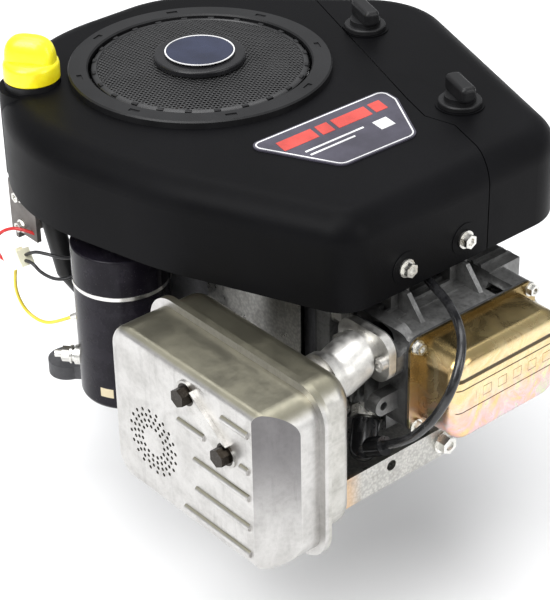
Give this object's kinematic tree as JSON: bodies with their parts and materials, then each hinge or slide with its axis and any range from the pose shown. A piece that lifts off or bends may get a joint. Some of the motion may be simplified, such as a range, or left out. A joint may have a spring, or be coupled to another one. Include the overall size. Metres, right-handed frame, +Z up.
{
  "type": "small gasoline engine",
  "caption": "Single-cylinder vertical-shaft petrol engine with blower housing, side-mounted muffler, electric starter and overhead-valve head.",
  "frame": {"origin": "crankshaft axis at the mounting face of the sump", "axes": "+Z up along the crankshaft towards the rotating screen, +X towards the cylinder head and rocker cover, -Y towards the muffler and starter"},
  "size_m": [0.4933, 0.4245, 0.4143],
  "materials": {
    "cast_sump": "rough die casting",
    "gasket_black": "matt",
    "zinc_steel": "zinc plate",
    "cast_block": "rough die casting",
    "forged_steel": "oiled, ground journals",
    "piston_alloy": "machined",
    "flywheel_iron": "cast, turned rim",
    "fan_nylon": "moulded",
    "screen_metal": "satin black, perforated",
    "hub_plastic": "satin",
    "stator_metal": "varnished laminations and windings",
    "coil_black": "moulded",
    "cast_head": "cast, machined faces",
    "valve_steel": "ground",
    "spring_steel": "oil tempered",
    "gold_zinc": "yellow zinc plate with coloured tints",
    "plug_metal": "nickel plate and white ceramic",
    "boot_rubber": "satin",
    "lead_rubber": "glossy",
    "muffler_steel": "aluminised sheet, patchy grain",
    "muffler_back_steel": "aluminised sheet, drawn marks",
    "dark_fasteners": "black oxide with a brown bloom",
    "exhaust_zinc": "dull zinc plate",
    "strap_steel": "galvanised",
    "zinc_screws": "bright zinc plate",
    "starter_black": "gloss black paint",
    "armature_metal": "laminations and copper",
    "pinion_steel": "hardened",
    "terminal_zinc": "zinc plate",
    "shroud_plastic": "fine texture, satin",
    "cover_plastic": "fine texture, satin",
    "ring_plastic": "smooth satin",
    "badge_face": "printed film with a pale border",
    "yellow_cap": "moulded, satin gloss",
    "filler_black": "moulded",
    "regulator_grey": "dull cast",
    "connector_cream": "moulded nylon",
    "carb_alloy": "die cast",
    "brass_shaft": "turned",
    "zinc_lever": "zinc plate",
    "zinc_wire": "drawn",
    "bracket_steel": "satin black paint",
    "filter_paper": "pleated paper with a foam rim",
    "wire_red": "satin",
    "wire_yellow": "satin",
    "wire_black": "satin"
  },
  "bodies": {
    "engine": {"sump": "cast_sump", "gaskets_and_seals": "gasket_black", "case_fittings": "zinc_steel", "cylinder_block": "cast_block", "piston": "piston_alloy", "connecting_rod": "piston_alloy", "stator": "stator_metal", "ignition_coil": "coil_black", "cylinder_head": "cast_head", "valve_springs": "spring_steel", "rocker_shaft": "forged_steel", "rocker_cover": "gold_zinc", "spark_plug": "plug_metal", "spark_plug_boot": "boot_rubber", "spark_plug_lead": "lead_rubber", "muffler_front": "muffler_steel", "muffler_back": "muffler_back_steel", "exhaust_fasteners": "dark_fasteners", "exhaust_pipe": "exhaust_zinc", "muffler_strap": "strap_steel", "flanged_screws": "zinc_screws", "starter_housing": "starter_black", "terminals_and_clips": "terminal_zinc", "blower_housing": "shroud_plastic", "air_cleaner_cover": "cover_plastic", "guard_ring": "ring_plastic", "badge_plate": "badge_face", "oil_fill_tube": "filler_black", "voltage_regulator": "regulator_grey", "harness_connector": "connector_cream", "carburettor": "carb_alloy", "control_bracket": "bracket_steel", "air_cleaner_base": "cover_plastic", "air_filter": "filter_paper", "red_wire": "wire_red", "yellow_wire": "wire_yellow", "black_wire_upper": "wire_black", "black_wire_lower": "wire_black"},
    "crank": {"crankshaft": "forged_steel", "flywheel": "flywheel_iron", "cooling_fan": "fan_nylon", "rotating_screen": "screen_metal", "screen_hub": "hub_plastic"},
    "cam": {"camshaft": "forged_steel"},
    "pushrod_intake": {"intake_pushrod": "valve_steel"},
    "pushrod_exhaust": {"exhaust_pushrod": "valve_steel"},
    "rocker_intake": {"intake_rocker": "forged_steel"},
    "rocker_exhaust": {"exhaust_rocker": "forged_steel"},
    "valve_intake": {"intake_valve": "valve_steel"},
    "valve_exhaust": {"exhaust_valve": "valve_steel"},
    "knob_left": {"cover_knob_left": "yellow_cap"},
    "knob_right": {"cover_knob_right": "yellow_cap"},
    "filler_cap": {"dipstick": "yellow_cap"},
    "speed_lever": {"control_lever": "zinc_lever"},
    "governor_arm": {"governor_lever": "zinc_lever"},
    "governor_rod": {"governor_link": "zinc_wire"},
    "throttle": {"throttle_shaft": "brass_shaft"},
    "choke": {"choke_shaft": "brass_shaft"},
    "armature": {"starter_armature": "armature_metal"},
    "drive_pinion": {"starter_pinion": "pinion_steel"}
  },
  "joints": [
    {"name": "crank_spin", "type": "hinge", "parent": "engine", "child": "crank", "pos_m": [0, 0, 0], "axis": [0, 0, 1], "continuous": true, "deforming": ["connecting_rod"]},
    {"name": "cam_spin", "type": "hinge", "parent": "engine", "child": "cam", "pos_m": [0, 0.0825, 0], "axis": [0, 0, 1], "continuous": true},
    {"name": "intake_pushrod_lift", "type": "slide", "parent": "engine", "child": "pushrod_intake", "axis": [1, 0, 0], "range_m": [0, 0.006], "stiffness_N_per_m": 8000, "springref_m": -0.01, "deforming": ["valve_springs"]},
    {"name": "intake_rocker_tilt", "type": "hinge", "parent": "engine", "child": "rocker_intake", "pos_m": [0.305, 0.03, 0.139], "axis": [0, 0, 1], "range_deg": [-11.54, 0], "deforming": ["valve_springs"]},
    {"name": "intake_valve_lift", "type": "slide", "parent": "engine", "child": "valve_intake", "axis": [-1, 0, 0], "range_m": [0, 0.00605], "deforming": ["valve_springs"]},
    {"name": "exhaust_pushrod_lift", "type": "slide", "parent": "engine", "child": "pushrod_exhaust", "axis": [1, 0, 0], "range_m": [0, 0.006], "stiffness_N_per_m": 8000, "springref_m": -0.01, "deforming": ["valve_springs"]},
    {"name": "exhaust_rocker_tilt", "type": "hinge", "parent": "engine", "child": "rocker_exhaust", "pos_m": [0.305, 0.03, 0.181], "axis": [0, 0, 1], "range_deg": [-11.54, 0], "deforming": ["valve_springs"]},
    {"name": "exhaust_valve_lift", "type": "slide", "parent": "engine", "child": "valve_exhaust", "axis": [-1, 0, 0], "range_m": [0, 0.00605], "deforming": ["valve_springs"]},
    {"name": "left_knob_turn", "type": "hinge", "parent": "engine", "child": "knob_left", "pos_m": [0.035, 0.146, 0], "axis": [0, 0, 1], "range_deg": [-180, 180]},
    {"name": "right_knob_turn", "type": "hinge", "parent": "engine", "child": "knob_right", "pos_m": [0.185, 0.105, 0], "axis": [0, 0, 1], "range_deg": [-180, 180]},
    {"name": "dipstick_pull", "type": "slide", "parent": "engine", "child": "filler_cap", "axis": [0, 0, 1], "range_m": [0, 0.13]},
    {"name": "speed_lever_turn", "type": "hinge", "parent": "engine", "child": "speed_lever", "pos_m": [0.03, 0.166, 0], "axis": [0, 0, 1], "range_deg": [-25, 25]},
    {"name": "governor_arm_turn", "type": "hinge", "parent": "engine", "child": "governor_arm", "pos_m": [0.086, 0.128, 0], "axis": [0, 0, 1], "range_deg": [-20, 20]},
    {"name": "governor_rod_pivot", "type": "hinge", "parent": "governor_arm", "child": "governor_rod", "pos_m": [0.086, 0.104, 0], "axis": [0, 0, 1], "range_deg": [-20, 20]},
    {"name": "throttle_turn", "type": "hinge", "parent": "engine", "child": "throttle", "pos_m": [0.184, 0.128, 0], "axis": [0, 0, 1], "range_deg": [-20, 20]},
    {"name": "choke_turn", "type": "hinge", "parent": "engine", "child": "choke", "pos_m": [0.158, 0.128, 0], "axis": [0, 0, 1], "range_deg": [0, 75]},
    {"name": "armature_spin", "type": "hinge", "parent": "engine", "child": "armature", "pos_m": [0.045, -0.121, 0], "axis": [0, 0, 1], "continuous": true},
    {"name": "pinion_throw", "type": "slide", "parent": "armature", "child": "drive_pinion", "axis": [0, 0, 1], "range_m": [0, 0.0105], "stiffness_N_per_m": 150, "springref_m": -0.004}
  ],
  "couplings": [
    {"joint": "cam_spin", "follows": "crank_spin", "ratio": -0.5},
    {"joint": "governor_rod_pivot", "follows": "governor_arm_turn", "ratio": -1},
    {"joint": "throttle_turn", "follows": "governor_arm_turn", "ratio": 1},
    {"joint": "intake_rocker_tilt", "follows": "intake_pushrod_lift", "rad_per_m": -33.333},
    {"joint": "intake_valve_lift", "follows": "intake_pushrod_lift", "ratio": 1},
    {"joint": "exhaust_rocker_tilt", "follows": "exhaust_pushrod_lift", "rad_per_m": -33.333},
    {"joint": "exhaust_valve_lift", "follows": "exhaust_pushrod_lift", "ratio": 1}
  ]
}
